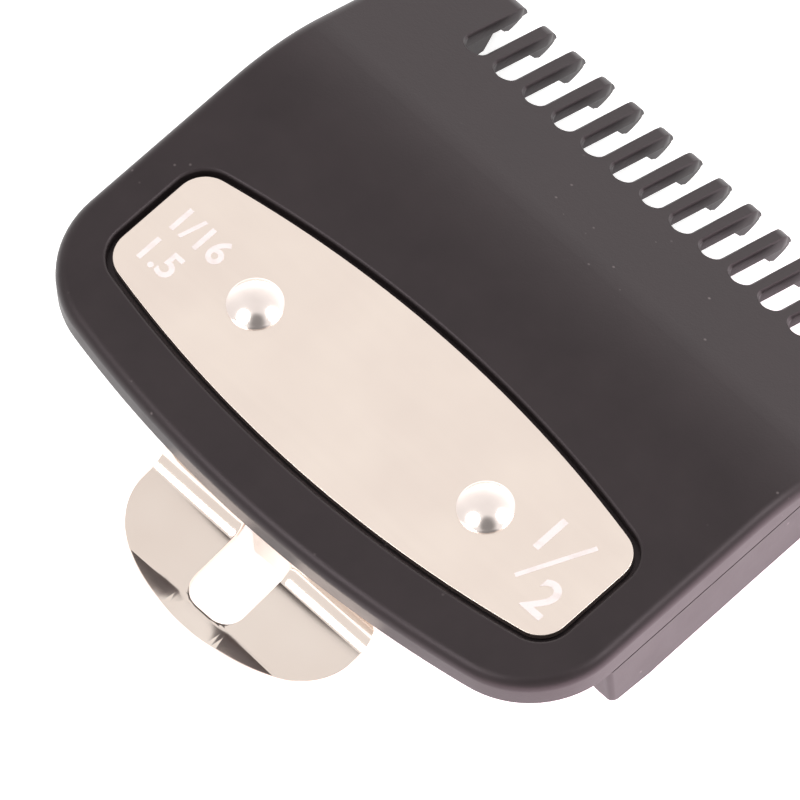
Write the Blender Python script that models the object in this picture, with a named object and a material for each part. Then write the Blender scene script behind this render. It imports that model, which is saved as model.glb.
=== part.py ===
# Clipper guard comb: a moulded comb body, a metal face plate, a spring clip and two rivets.
# +X runs across the teeth, +Y towards the tooth tips and +Z out of the marked outer face.
# Sizes are in millimetres and are made metres where a vertex is placed.
# The design datum is the middle of the rivet row on the outer face; the origin of the
# finished object is the middle of its box, at its lowest level.

import math

import bmesh
import bpy
from mathutils import Matrix, Vector

MM = 0.001

# Fits
SEAT_GAP = 0.3          # between faces that rest on each other
HOLE_GAP = 0.35         # round a rivet shank, on the radius
PLATE_GAP = 0.45        # round the face plate in its pocket
BITE = 0.3              # how far joined solids run into each other

# Comb body: plan
BODY_WIDTH = 50.0
TIP_Y = 31.8            # tooth tips, ahead of the rivet row
REAR_Y = -11.33         # middle of the rear edge
REAR_ARC_RADIUS = 98.0
REAR_CORNER_RADIUS = 7.5
FRONT_CORNER_RADIUS = 1.2
EDGE_ROUND = 0.9        # round of the outer face's rim

# Comb body: side view
BODY_THICKNESS = 2.44
FRONT_THICKNESS = 1.15  # of the sloping front, measured upright
BEND_Y = 15.53          # where the flat and the slope would meet
SLOPE_DEGREES = 25.77
BEND_TANGENT = 4.3      # length of the round on each side of BEND_Y

# Teeth, with lengths taken back from the tips
TOOTH_PITCH = 2.832
SLOT_COUNT = 13
TOOTH_LENGTH = 6.21     # to the root of a slot
SLOT_WIDTH_TOP = 2.16
SLOT_DRAFT = 0.222      # half width lost for each millimetre of depth
FIN_WIDTH = 0.9
FIN_LENGTH = 2.7        # where the fin leaves the tooth
FIN_HEEL = 2.0          # its lower rear corner
FIN_DROP = 1.8          # below the tip's outer face
FIN_HEEL_RISE = 0.35    # of the heel above the fin's lowest point
FIN_SETBACK = 0.05      # of the nose behind the tip

# Side walls, and the ribs beside the end slots
WALL_THICKNESS = 1.9
WALL_INSET = 0.1        # the fine step between the plate's edge and the wall
WALL_REAR_Y = -1.94
WALL_HEIGHT = 4.42      # below the plate
WALL_CORNER_RADIUS = 0.9
CHEEK_RUN = 2.5         # from BEND_Y to where the walls start to deepen
CHEEK_BACK = 4.1        # from the tips to the walls' front corner
CHEEK_DEPTH = 3.3       # of that corner below the outer face
CHEEK_LEAN = 1.2        # of the walls' front edge
RIB_WIDTH = 1.4
RIB_REAR = 1.5          # ahead of where the walls start to deepen
RIB_HEEL = 4.0

# Seat rails under the plate, which the fixed blade rests on
RAIL_TO_WALL = 3.0
RAIL_WIDTH = 1.2
RAIL_REAR_Y = -1.0
RAIL_FRONT_Y = 16.4
RAIL_STAND = 0.15       # below the clip's leaf, so that the blade clears it

# Face plate
PLATE_MIDDLE_Y = 0.15
PLATE_HALF_WIDTH = 21.2
PLATE_HALF_HEIGHT = 6.9
PLATE_EDGE_RADIUS = 96.0
PLATE_CORNER_RADIUS = 2.2
PLATE_THICKNESS = 0.5
PLATE_SUNK = 0.1        # outer face of the plate below the comb's outer face

# Rivets
RIVET_SPACING = 22.12
SHANK_RADIUS = 1.2
HEAD_RADIUS = 1.98
HEAD_RISE = 0.75        # top of the head above the face plate
TAIL_RADIUS = 1.8
TAIL_THICKNESS = 0.6

# Spring clip, measured at the middle of its sheet
SHEET = 0.5             # thickness of the steel
CLIP_BEND = 1.0         # bend radius
LEAF_HALF_WIDTH = 14.0
LEAF_FRONT_Y = 3.6
LEAF_NECK_Y = -4.2
LEAF_CORNER_RADIUS = 1.5
CLIP_INSET = 1.78       # of the upright stretch from the body's rear edge
FLEX_RUN = 0.35         # from the flexure line to the first bend
TAB_HALF_WIDTH = 10.1
TAB_DROP = 4.16         # below the leaf where the tab leaves the upright stretch
TAB_LENGTH = 8.35       # from the upright stretch to the lip's edge
TAB_SIDE = 2.35         # straight part of the tab's sides
TAB_LOW = 6.05          # where the lip starts to rise
TAB_LOW_DROP = 5.01     # below the leaf there
LIP_RISE = 1.0
WINDOW_HALF_WIDTH = 2.3  # the window that the tongue is cut from
WINDOW_LENGTH = 6.55
WINDOW_TOP_DROP = 1.6
WINDOW_CORNER_RADIUS = 1.6
TONGUE_HALF_WIDTH = 1.8
TONGUE_DROP = 7.76      # of the hook below the leaf
TONGUE_REACH = 2.4      # of the hook under the blade

# Materials: colour, metallic, roughness
NYLON = ("comb_nylon", (0.055, 0.050, 0.052), 0.0, 0.55)
PLATE_STEEL = ("plate_steel", (0.74, 0.68, 0.63), 1.0, 0.38)
SPRING_STEEL = ("clip_steel", (0.80, 0.77, 0.74), 1.0, 0.14)
RIVET_STEEL = ("rivet_steel", (0.82, 0.80, 0.78), 1.0, 0.20)

# Worked out from the sizes above
SLOPE = math.tan(math.radians(SLOPE_DEGREES))
BEND_RADIUS = BEND_TANGENT / math.tan(math.radians(SLOPE_DEGREES / 2))
BEND_START = BEND_Y - BEND_TANGENT
BEND_END = BEND_Y + BEND_TANGENT * math.cos(math.radians(SLOPE_DEGREES))
SLOTS_HALF = (SLOT_COUNT - 1) / 2
WALL_OUTER_X = BODY_WIDTH / 2 - WALL_INSET
WALL_INNER_X = WALL_OUTER_X - WALL_THICKNESS
WALL_BOTTOM_Z = -BODY_THICKNESS - WALL_HEIGHT
CHEEK_Y = BEND_Y + CHEEK_RUN
CHEEK_FRONT_Y = TIP_Y - CHEEK_BACK
UPRIGHT_Y = REAR_Y + CLIP_INSET
FLEX_Y = UPRIGHT_Y + CLIP_BEND + FLEX_RUN
LIP_Y = UPRIGHT_Y - TAB_LENGTH
LEAF_Z = -BODY_THICKNESS - SEAT_GAP - SHEET / 2
TONGUE_Z = LEAF_Z - TONGUE_DROP


def top_z(y):
    """Height of the outer face at y: flat, then a round, then the slope."""
    if y <= BEND_START:
        return 0.0
    if y >= BEND_END:
        return -(y - BEND_Y) * SLOPE
    return math.sqrt(BEND_RADIUS ** 2 - (y - BEND_START) ** 2) - BEND_RADIUS


def bottom_z(y):
    """Height of the underside at y."""
    return min(-BODY_THICKNESS, top_z(y) - FRONT_THICKNESS)


FIN_BOTTOM_Z = top_z(TIP_Y) - FIN_DROP
CHEEK_BOTTOM_Z = top_z(CHEEK_FRONT_Y) - CHEEK_DEPTH
BASE_Z = min(FIN_BOTTOM_Z, CHEEK_BOTTOM_Z, TONGUE_Z - SHEET / 2)
MIDDLE_Y = (TIP_Y + LIP_Y) / 2


def place(x, y, z):
    """A design point in millimetres as a point of the finished object in metres."""
    return Vector((x, y - MIDDLE_Y, z - BASE_Z)) * MM


# ---- outlines ---------------------------------------------------------------

def rounded(corners, steps=6):
    """Polygon of (a, b, radius) corners with each corner turned into an arc."""
    points = []
    count = len(corners)
    for i, (a, b, radius) in enumerate(corners):
        corner = Vector((a, b))
        if radius <= 0:
            points.append(corner)
            continue
        before = Vector(corners[i - 1][:2]) - corner
        after = Vector(corners[(i + 1) % count][:2]) - corner
        half = before.angle(after) / 2
        reach = radius / math.tan(half)
        centre = corner + (before.normalized() + after.normalized()).normalized() * radius / math.sin(half)
        first = corner + before.normalized() * reach - centre
        last = corner + after.normalized() * reach - centre
        turn = first.angle_signed(last)
        for k in range(steps + 1):
            angle = -turn * k / steps
            points.append(centre + Matrix.Rotation(angle, 2) @ first)
    return points


def arc_edge(half_width, middle, radius, side, steps=14):
    """Points of a long shallow arc across X, bulging towards side (+1 or -1) in Y."""
    points = []
    for k in range(steps + 1):
        x = side * half_width * (1 - 2 * k / steps)
        points.append((x, side * (middle - radius + math.sqrt(radius ** 2 - x ** 2)), 0))
    return points


def barrel(grow):
    """Outline of the face plate, grown on all sides."""
    half_width = PLATE_HALF_WIDTH + grow
    middle = PLATE_HALF_HEIGHT + grow
    radius = PLATE_EDGE_RADIUS + grow
    corner = PLATE_CORNER_RADIUS + grow
    end = middle - radius + math.sqrt(radius ** 2 - half_width ** 2)
    run = half_width - 1.6 * corner
    corners = arc_edge(run, middle, radius, 1)
    corners += [(-half_width, end, corner), (-half_width, -end, corner)]
    corners += arc_edge(run, middle, radius, -1)
    corners += [(half_width, -end, corner), (half_width, end, corner)]
    return [point + Vector((0, PLATE_MIDDLE_Y)) for point in rounded(corners, 5)]


def comb_outline():
    """Plan of the comb body, with its bowed rear edge."""
    half = BODY_WIDTH / 2
    depth = -REAR_Y
    rear = -(depth - REAR_ARC_RADIUS + math.sqrt(REAR_ARC_RADIUS ** 2 - half ** 2))
    run = half - 0.9 * REAR_CORNER_RADIUS
    corners = [(half, TIP_Y, FRONT_CORNER_RADIUS), (-half, TIP_Y, FRONT_CORNER_RADIUS)]
    corners += [(-half, rear, REAR_CORNER_RADIUS)]
    corners += arc_edge(run, depth, REAR_ARC_RADIUS, -1)
    corners += [(half, rear, REAR_CORNER_RADIUS)]
    return rounded(corners, 7)


def bent_path(points, radius, steps=6):
    """Open path with its inner corners rounded."""
    ends = [(*points[0], 0)] + [(*p, radius) for p in points[1:-1]] + [(*points[-1], 0)]
    return rounded(ends, steps)


def sheet_section(path, thickness):
    """Closed outline of a sheet that follows an open path at its middle."""
    left, right = [], []
    for i, point in enumerate(path):
        run = path[min(i + 1, len(path) - 1)] - path[max(i - 1, 0)]
        side = Vector((-run.y, run.x)).normalized() * thickness / 2
        left.append(point + side)
        right.append(point - side)
    return left + right[::-1]


# ---- solids -----------------------------------------------------------------

def make_object(name, bm):
    """New object from a bmesh; its normals point out."""
    mesh = bpy.data.meshes.new(name)
    bmesh.ops.recalc_face_normals(bm, faces=bm.faces)
    bm.to_mesh(mesh)
    bm.free()
    item = bpy.data.objects.new(name, mesh)
    bpy.context.collection.objects.link(item)
    return item


def add_prism(bm, outline, low, high, point):
    """Adds a prism to bm: point(a, b, level) turns an outline point into a vertex."""
    lower = [bm.verts.new(point(a, b, low)) for a, b in outline]
    upper = [bm.verts.new(point(a, b, high)) for a, b in outline]
    bm.faces.new(lower)
    bm.faces.new(upper)
    count = len(outline)
    for i in range(count):
        j = (i + 1) % count
        bm.faces.new((lower[i], lower[j], upper[j], upper[i]))


def upright(a, b, level):
    return place(a, b, level)


def sideways(a, b, level):
    return place(level, a, b)


def prism(name, outline, low, high, point=upright):
    bm = bmesh.new()
    add_prism(bm, outline, low, high, point)
    return make_object(name, bm)


def turned(bm, profile, x, y, steps=28):
    """Adds a closed turned solid on an upright axis; profile is (radius, z) from axis to axis."""
    rings = []
    for radius, z in profile:
        if radius == 0:
            rings.append([bm.verts.new(place(x, y, z))])
            continue
        ring = []
        for k in range(steps):
            angle = 2 * math.pi * k / steps
            ring.append(bm.verts.new(place(x + radius * math.cos(angle), y + radius * math.sin(angle), z)))
        rings.append(ring)
    for ring, following in zip(rings, rings[1:]):
        for k in range(steps):
            j = (k + 1) % steps
            corners = [ring[k % len(ring)], ring[j % len(ring)]]
            corners += [following[j % len(following)], following[k % len(following)]]
            bm.faces.new(list(dict.fromkeys(corners)))


def as_cutter(item):
    item.hide_render = True
    item.display_type = "WIRE"
    return item


def boolean(target, other, operation):
    modifier = target.modifiers.new(operation.lower() + "_" + other.name, "BOOLEAN")
    modifier.operation = operation
    modifier.solver = "EXACT"
    modifier.object = as_cutter(other)


def finish(item, finish_spec, sharp_degrees=32):
    """Gives a node its own material and smooth shading with sharp edges kept."""
    slot, colour, metallic, roughness = finish_spec
    material = bpy.data.materials.new(slot)
    material.use_nodes = True
    shader = material.node_tree.nodes["Principled BSDF"]
    shader.inputs["Base Color"].default_value = (*colour, 1.0)
    shader.inputs["Metallic"].default_value = metallic
    shader.inputs["Roughness"].default_value = roughness
    item.data.materials.append(material)
    item.data.shade_smooth()
    item.data.set_sharp_from_angle(angle=math.radians(sharp_degrees))


# ---- comb body --------------------------------------------------------------

def body_slab():
    """Flat slab with a rounded upper rim, then draped over the side view."""
    bm = bmesh.new()
    flat = [(p.x, p.y) for p in comb_outline()]
    add_prism(bm, flat, -BODY_THICKNESS, 0.0, lambda a, b, level: Vector((a, b, level)))
    rim = [e for e in bm.edges if all(abs(v.co.z) < 1e-6 for v in e.verts)]
    bmesh.ops.bevel(bm, geom=rim, offset=EDGE_ROUND, segments=4, profile=0.5, affect="EDGES")
    stations = [BEND_START + (BEND_END - BEND_START) * k / 8 for k in range(9)]
    for y in stations:
        everything = bm.verts[:] + bm.edges[:] + bm.faces[:]
        bmesh.ops.bisect_plane(bm, geom=everything, plane_co=(0, y, 0), plane_no=(0, 1, 0))
    for vertex in bm.verts:
        x, y, z = vertex.co
        on_underside = z < -BODY_THICKNESS + 1e-4
        vertex.co = place(x, y, bottom_z(y) if on_underside else top_z(y) + z)
    return make_object("comb_body", bm)


def cheek_bottom(y):
    """Lower edge of the walls and ribs beside the teeth."""
    share = (y - CHEEK_Y) / (CHEEK_FRONT_Y - CHEEK_Y)
    return WALL_BOTTOM_Z + (CHEEK_BOTTOM_Z - WALL_BOTTOM_Z) * share


def inside_plate(y):
    """A level within the plate's thickness, for what is joined under it."""
    return bottom_z(y) + BITE


def wall_profile():
    """Side wall in side view: level, then deepening beside the teeth."""
    front_y = CHEEK_FRONT_Y + CHEEK_LEAN
    lower = [(WALL_REAR_Y, inside_plate(WALL_REAR_Y), 0)]
    lower += [(WALL_REAR_Y, WALL_BOTTOM_Z, WALL_CORNER_RADIUS), (CHEEK_Y, WALL_BOTTOM_Z, 0)]
    lower += [(CHEEK_FRONT_Y, CHEEK_BOTTOM_Z, 0), (front_y, inside_plate(front_y), 0)]
    steps = 8
    upper = []
    for k in range(steps):
        y = BEND_END - (BEND_END - BEND_START) * k / (steps - 1)
        upper.append((y, inside_plate(y), 0))
    return rounded(lower + upper, 5)


def rib_profile():
    """Rib beside the end slot: it grows out of the underside and ends like the wall."""
    rear_y = CHEEK_Y + RIB_REAR
    heel_y = CHEEK_Y + RIB_HEEL
    front_y = CHEEK_FRONT_Y + CHEEK_LEAN
    corners = [(rear_y, inside_plate(rear_y), 0), (heel_y, cheek_bottom(heel_y), 0)]
    corners += [(CHEEK_FRONT_Y, CHEEK_BOTTOM_Z, 0), (front_y, inside_plate(front_y), 0)]
    return rounded(corners, 3)


def rail_profile():
    """Seat rail in side view, a little lower than the clip's leaf."""
    seat_z = LEAF_Z - SHEET / 2 - RAIL_STAND
    corners = [(RAIL_REAR_Y, inside_plate(RAIL_REAR_Y), 0), (RAIL_REAR_Y, seat_z, 0)]
    corners += [(RAIL_FRONT_Y, seat_z, 0), (RAIL_FRONT_Y, inside_plate(RAIL_FRONT_Y), 0)]
    return rounded(corners)


def fin_profile(steps=7):
    """Hook under a tooth tip in side view: upright heel, full round nose."""
    rear_y = TIP_Y - FIN_LENGTH
    heel_y = TIP_Y - FIN_HEEL
    nose_y = TIP_Y - FIN_SETBACK
    nose_z = inside_plate(TIP_Y)
    reach = (nose_y - heel_y) * 0.75
    depth = nose_z - FIN_BOTTOM_Z
    fullness = 0.85
    points = [Vector((rear_y, inside_plate(rear_y)))]
    points += [Vector((heel_y, FIN_BOTTOM_Z + FIN_HEEL_RISE))]
    for k in range(steps + 1):
        angle = math.pi / 2 * k / steps
        y = nose_y - reach * (1 - math.sin(angle) ** fullness)
        points.append(Vector((y, nose_z - depth * math.cos(angle) ** fullness)))
    return points


def tooth_x(number):
    """Middle of thin tooth number 1 to 12, counted from -X."""
    return (number - 0.5 - SLOTS_HALF) * TOOTH_PITCH


def add_slot(bm, number):
    """Tapered slot with a round root, square to the slope and open at the tips."""
    slope = math.radians(SLOPE_DEGREES)
    along = Vector((0, math.cos(slope), -math.sin(slope)))
    out = Vector((0, math.sin(slope), math.cos(slope)))
    middle = (number - SLOTS_HALF) * TOOTH_PITCH
    root_y = TIP_Y - TOOTH_LENGTH
    root = Vector((middle, root_y, top_z(root_y)))
    rings = []
    past = TOOTH_LENGTH * 1.6
    for depth in (-1.2, FRONT_THICKNESS + 0.9):
        half = SLOT_WIDTH_TOP / 2 - SLOT_DRAFT * depth
        outline = [(-half, past)]
        for k in range(11):
            angle = math.pi * k / 10
            outline.append((-half * math.cos(angle), half - half * math.sin(angle)))
        outline.append((half, past))
        ring = [root + Vector((a, 0, 0)) + along * b - out * depth for a, b in outline]
        rings.append([bm.verts.new(place(*p)) for p in ring])
    upper, lower = rings
    bm.faces.new(upper)
    bm.faces.new(lower)
    for i in range(len(upper)):
        j = (i + 1) % len(upper)
        bm.faces.new((upper[i], upper[j], lower[j], lower[i]))


def end_rib_x():
    """Inner face of the rib beside an end slot."""
    lost = SLOT_DRAFT * FRONT_THICKNESS
    return SLOTS_HALF * TOOTH_PITCH + SLOT_WIDTH_TOP / 2 - lost + BITE


def build_comb_body():
    body = body_slab()
    rib_x = end_rib_x()
    rail_x = WALL_INNER_X - RAIL_TO_WALL
    pieces = [("wall", wall_profile(), WALL_INNER_X, WALL_OUTER_X)]
    pieces += [("rib", rib_profile(), rib_x, rib_x + RIB_WIDTH)]
    pieces += [("rail", rail_profile(), rail_x - RAIL_WIDTH, rail_x)]
    for side, label in ((-1, "left"), (1, "right")):
        for name, profile, inner, outer in pieces:
            low, high = sorted((side * inner, side * outer))
            boolean(body, prism(name + "_" + label, profile, low, high, sideways), "UNION")
    fins = bmesh.new()
    for number in range(1, SLOT_COUNT):
        x = tooth_x(number)
        add_prism(fins, fin_profile(), x - FIN_WIDTH / 2, x + FIN_WIDTH / 2, sideways)
    for side in (-1, 1):
        low, high = sorted((side * rib_x, side * WALL_INNER_X))
        add_prism(fins, fin_profile(), low, high, sideways)
    boolean(body, make_object("fins", fins), "UNION")
    slots = bmesh.new()
    for number in range(SLOT_COUNT):
        add_slot(slots, number)
    boolean(body, make_object("slots", slots), "DIFFERENCE")
    pocket_floor = -PLATE_SUNK - PLATE_THICKNESS - SEAT_GAP
    boolean(body, prism("pocket", barrel(PLATE_GAP), pocket_floor, 1.0), "DIFFERENCE")
    boolean(body, rivet_holes("body_holes"), "DIFFERENCE")
    finish(body, NYLON)


def rivet_xs():
    return (-RIVET_SPACING / 2, RIVET_SPACING / 2)


def rivet_holes(name):
    """Two upright cutters through everything that the rivets clamp."""
    bm = bmesh.new()
    radius = SHANK_RADIUS + HOLE_GAP
    for x in rivet_xs():
        turned(bm, [(0, 2.0), (radius, 2.0), (radius, LEAF_Z - 2), (0, LEAF_Z - 2)], x, 0)
    return make_object(name, bm)


# ---- face plate and rivets --------------------------------------------------

def build_face_plate():
    plate = prism("face_plate", barrel(0), -PLATE_SUNK - PLATE_THICKNESS, -PLATE_SUNK)
    boolean(plate, rivet_holes("plate_holes"), "DIFFERENCE")
    finish(plate, PLATE_STEEL)


def build_rivets():
    """Low domed head over the face plate, shank, and a formed tail under the clip's leaf."""
    seat = -PLATE_SUNK + SEAT_GAP
    crown = -PLATE_SUNK + HEAD_RISE
    rim = (seat + crown) / 2
    tail = LEAF_Z - SHEET / 2 - SEAT_GAP
    profile = [(0, crown), (HEAD_RADIUS * 0.6, crown - 0.03), (HEAD_RADIUS * 0.88, crown - 0.15)]
    profile += [(HEAD_RADIUS, rim), (HEAD_RADIUS, seat), (SHANK_RADIUS, seat)]
    profile += [(SHANK_RADIUS, tail), (TAIL_RADIUS, tail), (TAIL_RADIUS, tail - TAIL_THICKNESS * 0.6)]
    profile += [(TAIL_RADIUS * 0.8, tail - TAIL_THICKNESS), (0, tail - TAIL_THICKNESS)]
    for x, name in zip(rivet_xs(), ("rivet_left", "rivet_right")):
        bm = bmesh.new()
        turned(bm, profile, x, 0)
        finish(make_object(name, bm), RIVET_STEEL)


# ---- spring clip ------------------------------------------------------------

def build_clip_base():
    """Riveted leaf of the clip, wide at the rivets and as wide as the tab at the flexure."""
    wide, neck = LEAF_HALF_WIDTH, TAB_HALF_WIDTH
    rear = FLEX_Y + SEAT_GAP / 2
    corner = LEAF_CORNER_RADIUS
    shoulder = LEAF_NECK_Y - 2 * corner
    outline = [(wide, LEAF_FRONT_Y, corner), (-wide, LEAF_FRONT_Y, corner)]
    outline += [(-wide, LEAF_NECK_Y, corner), (-neck, shoulder, corner / 2), (-neck, rear, 0)]
    outline += [(neck, rear, 0), (neck, shoulder, corner / 2), (wide, LEAF_NECK_Y, corner)]
    leaf = prism("clip_base", rounded(outline, 5), LEAF_Z - SHEET / 2, LEAF_Z + SHEET / 2)
    boolean(leaf, rivet_holes("leaf_holes"), "DIFFERENCE")
    finish(leaf, SPRING_STEEL)


def tab_outline(steps=20):
    """Plan of the thumb tab: straight sides, then a broad rounded end."""
    side = TAB_HALF_WIDTH
    side_y = UPRIGHT_Y - TAB_SIDE
    points = [Vector((side, FLEX_Y + 1)), Vector((-side, FLEX_Y + 1))]
    for k in range(steps + 1):
        angle = math.pi * k / steps
        reach = (TAB_LENGTH - TAB_SIDE) * math.sin(angle) ** 1.08
        points.append(Vector((-side * math.cos(angle), side_y - reach)))
    return points


def build_clip_lever():
    """Upright stretch, thumb tab with a raised lip, and the tongue that hooks under the blade."""
    low = (UPRIGHT_Y - TAB_LOW, LEAF_Z - TAB_LOW_DROP)
    past_lip = (LIP_Y - 0.5, low[1] + LIP_RISE * 1.2)
    path = [(FLEX_Y - SEAT_GAP / 2, LEAF_Z), (UPRIGHT_Y, LEAF_Z)]
    path += [(UPRIGHT_Y, LEAF_Z - TAB_DROP), low, past_lip]
    section = sheet_section(bent_path(path, CLIP_BEND), SHEET)
    lever = prism("clip_lever", section, -TAB_HALF_WIDTH - 1, TAB_HALF_WIDTH + 1, sideways)
    below = low[1] - 3
    boolean(lever, prism("tab_trim", tab_outline(), below, 0), "INTERSECT")
    half, corner = WINDOW_HALF_WIDTH, WINDOW_CORNER_RADIUS
    front_y = UPRIGHT_Y + SHEET
    rear_y = UPRIGHT_Y - WINDOW_LENGTH
    window = [(half, front_y, 0), (-half, front_y, 0), (-half, rear_y, corner), (half, rear_y, corner)]
    window_top = LEAF_Z - WINDOW_TOP_DROP
    boolean(lever, prism("window", rounded(window, 6), below, window_top), "DIFFERENCE")
    tongue_y = UPRIGHT_Y - SHEET / 2
    hook = [(tongue_y, window_top + BITE), (tongue_y, TONGUE_Z)]
    hook += [(tongue_y + TONGUE_REACH, TONGUE_Z)]
    section = sheet_section(bent_path(hook, CLIP_BEND), SHEET)
    tongue = prism("tongue", section, -TONGUE_HALF_WIDTH, TONGUE_HALF_WIDTH, sideways)
    boolean(lever, tongue, "UNION")
    finish(lever, SPRING_STEEL)
    move_origin(lever, place(0, FLEX_Y, LEAF_Z))


def move_origin(item, point):
    """Puts an object's origin at a point without moving its shape."""
    item.data.transform(Matrix.Translation(-point))
    item.location = point


def main():
    for item in list(bpy.data.objects):
        bpy.data.objects.remove(item, do_unlink=True)
    build_comb_body()
    build_face_plate()
    build_rivets()
    build_clip_base()
    build_clip_lever()


main()
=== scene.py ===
# Clipper guard comb: nylon comb, metal face plate, two rivets and a bright spring clip.
# Sizes are millimetres, counted from the middle of the rivet row on the outer face.
import math

import bpy
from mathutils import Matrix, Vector


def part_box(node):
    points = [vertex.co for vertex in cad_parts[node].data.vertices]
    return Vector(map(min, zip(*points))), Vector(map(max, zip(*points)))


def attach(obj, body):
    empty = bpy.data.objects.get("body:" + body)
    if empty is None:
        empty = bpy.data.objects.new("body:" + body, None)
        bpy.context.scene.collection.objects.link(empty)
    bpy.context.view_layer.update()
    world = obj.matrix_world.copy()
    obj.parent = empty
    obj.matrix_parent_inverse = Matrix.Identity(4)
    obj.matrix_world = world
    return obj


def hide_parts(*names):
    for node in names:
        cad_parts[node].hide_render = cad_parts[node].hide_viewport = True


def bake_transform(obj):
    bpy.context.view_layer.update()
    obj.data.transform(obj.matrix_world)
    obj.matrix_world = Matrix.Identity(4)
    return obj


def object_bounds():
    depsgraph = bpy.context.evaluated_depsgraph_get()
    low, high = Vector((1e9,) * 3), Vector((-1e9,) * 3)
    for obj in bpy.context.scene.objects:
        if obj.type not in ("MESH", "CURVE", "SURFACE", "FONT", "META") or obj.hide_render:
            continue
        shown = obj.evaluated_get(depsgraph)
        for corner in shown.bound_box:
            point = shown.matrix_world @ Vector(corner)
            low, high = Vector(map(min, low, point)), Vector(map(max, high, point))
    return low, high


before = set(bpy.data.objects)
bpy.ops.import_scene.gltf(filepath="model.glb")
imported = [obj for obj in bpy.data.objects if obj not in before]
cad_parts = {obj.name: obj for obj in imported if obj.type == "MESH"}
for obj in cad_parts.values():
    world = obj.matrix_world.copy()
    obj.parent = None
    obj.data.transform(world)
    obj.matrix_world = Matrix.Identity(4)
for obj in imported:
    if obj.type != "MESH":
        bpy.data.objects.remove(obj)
cadLow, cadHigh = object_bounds()
combLow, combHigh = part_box("comb_body")
rivetLow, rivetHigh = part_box("rivet_left")
datum = Vector((0, (rivetLow.y + rivetHigh.y) / 2, combHigh.z))
mm = 0.001


def at(x, y, z):
    return datum + Vector((x, y, z)) * mm


def inMm(point):
    return (point - datum) / mm


# ---- modelling moves ----

def backToObjects():
    if bpy.context.object and bpy.context.object.mode != "OBJECT":
        bpy.ops.object.mode_set(mode="OBJECT")


def makeActive(piece):
    backToObjects()
    bpy.ops.object.select_all(action="DESELECT")
    piece.select_set(True)
    bpy.context.view_layer.objects.active = piece


def pick(piece, kind, wanted):  # edit mode, with only what passes the test selected
    makeActive(piece)
    bpy.ops.object.mode_set(mode="EDIT")
    bpy.ops.mesh.select_mode(type=kind)
    bpy.ops.mesh.select_all(action="DESELECT")
    bpy.ops.object.mode_set(mode="OBJECT")
    mesh = piece.data
    if kind == "VERT":
        for vertex in mesh.vertices:
            vertex.select = wanted(inMm(vertex.co))
    elif kind == "FACE":
        for face in mesh.polygons:
            face.select = wanted(inMm(face.center), face.normal)
    else:
        beside = {}
        for face in mesh.polygons:
            for key in face.edge_keys:
                beside.setdefault(key, []).append(face.normal)
        for edge in mesh.edges:
            first, second = (inMm(mesh.vertices[i].co) for i in edge.vertices)
            edge.select = wanted(first, second, beside.get(edge.key, []))
    bpy.ops.object.mode_set(mode="EDIT")


def addBox(name, low, high):
    backToObjects()
    bpy.ops.object.select_all(action="DESELECT")
    middle = [(a + b) / 2 for a, b in zip(low, high)]
    size = [(b - a) * mm for a, b in zip(low, high)]
    bpy.ops.mesh.primitive_cube_add(size=1, location=at(*middle), scale=size)
    piece = bpy.context.object
    piece.name = name
    bpy.ops.object.transform_apply(location=True, rotation=True, scale=True)
    return piece


def addDrum(name, x, y, lowZ, highZ, radius, sides=64):
    backToObjects()
    bpy.ops.object.select_all(action="DESELECT")
    depth = (highZ - lowZ) * mm
    bpy.ops.mesh.primitive_cylinder_add(vertices=sides, radius=radius * mm, depth=depth,
                                        location=at(x, y, (lowZ + highZ) / 2))
    piece = bpy.context.object
    piece.name = name
    bpy.ops.object.transform_apply(location=True, rotation=True, scale=True)
    return piece


def bevelEdges(piece, width, segments, wanted, profile=0.5):
    pick(piece, "EDGE", wanted)
    bpy.ops.mesh.bevel(offset=width * mm, segments=segments, profile=profile, affect="EDGES",
                       clamp_overlap=False)
    backToObjects()


def cutAcross(piece, axis, places):
    for place in places:
        pick(piece, "VERT", lambda p: True)
        bpy.ops.mesh.select_all(action="SELECT")
        point = at(*[place if i == axis else 0 for i in range(3)])
        normal = [1 if i == axis else 0 for i in range(3)]
        bpy.ops.mesh.bisect(plane_co=point, plane_no=normal)
    backToObjects()


def slide(piece, x, y, z, wanted):
    pick(piece, "VERT", wanted)
    bpy.ops.transform.translate(value=(x * mm, y * mm, z * mm))
    backToObjects()


def stretch(piece, x, y, centre, wanted):
    pick(piece, "VERT", wanted)
    bpy.ops.transform.resize(value=(x, y, 1), center_override=at(*centre))
    backToObjects()


def combine(piece, other, how):
    makeActive(piece)
    modifier = piece.modifiers.new(how.lower(), "BOOLEAN")
    modifier.operation = how
    modifier.solver = "EXACT"
    modifier.object = other
    bpy.ops.object.modifier_apply(modifier=modifier.name)
    bpy.data.objects.remove(other, do_unlink=True)


def repeat(piece, count, step):  # copies side by side along x, in the one mesh
    makeActive(piece)
    modifier = piece.modifiers.new("row", "ARRAY")
    modifier.count = count
    modifier.use_relative_offset = False
    modifier.use_constant_offset = True
    modifier.constant_offset_displace = (step * mm, 0, 0)
    bpy.ops.object.modifier_apply(modifier=modifier.name)


def smoothOff(piece, degrees=35):
    makeActive(piece)
    bpy.ops.object.mode_set(mode="EDIT")
    bpy.ops.mesh.select_all(action="SELECT")
    bpy.ops.mesh.remove_doubles(threshold=0.002 * mm)
    bpy.ops.mesh.normals_make_consistent(inside=False)
    bpy.ops.object.mode_set(mode="OBJECT")
    bpy.ops.object.shade_smooth_by_angle(angle=math.radians(degrees))
    modifier = piece.modifiers.new("weighted", "WEIGHTED_NORMAL")
    modifier.keep_sharp = True
    bpy.ops.object.modifier_apply(modifier=modifier.name)


def cornerCentre(radius, halfWidth, corner, crown):  # y of the centre of a corner that meets the arc
    return crown - radius + math.sqrt((radius - corner) ** 2 - (halfWidth - corner) ** 2)


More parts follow.
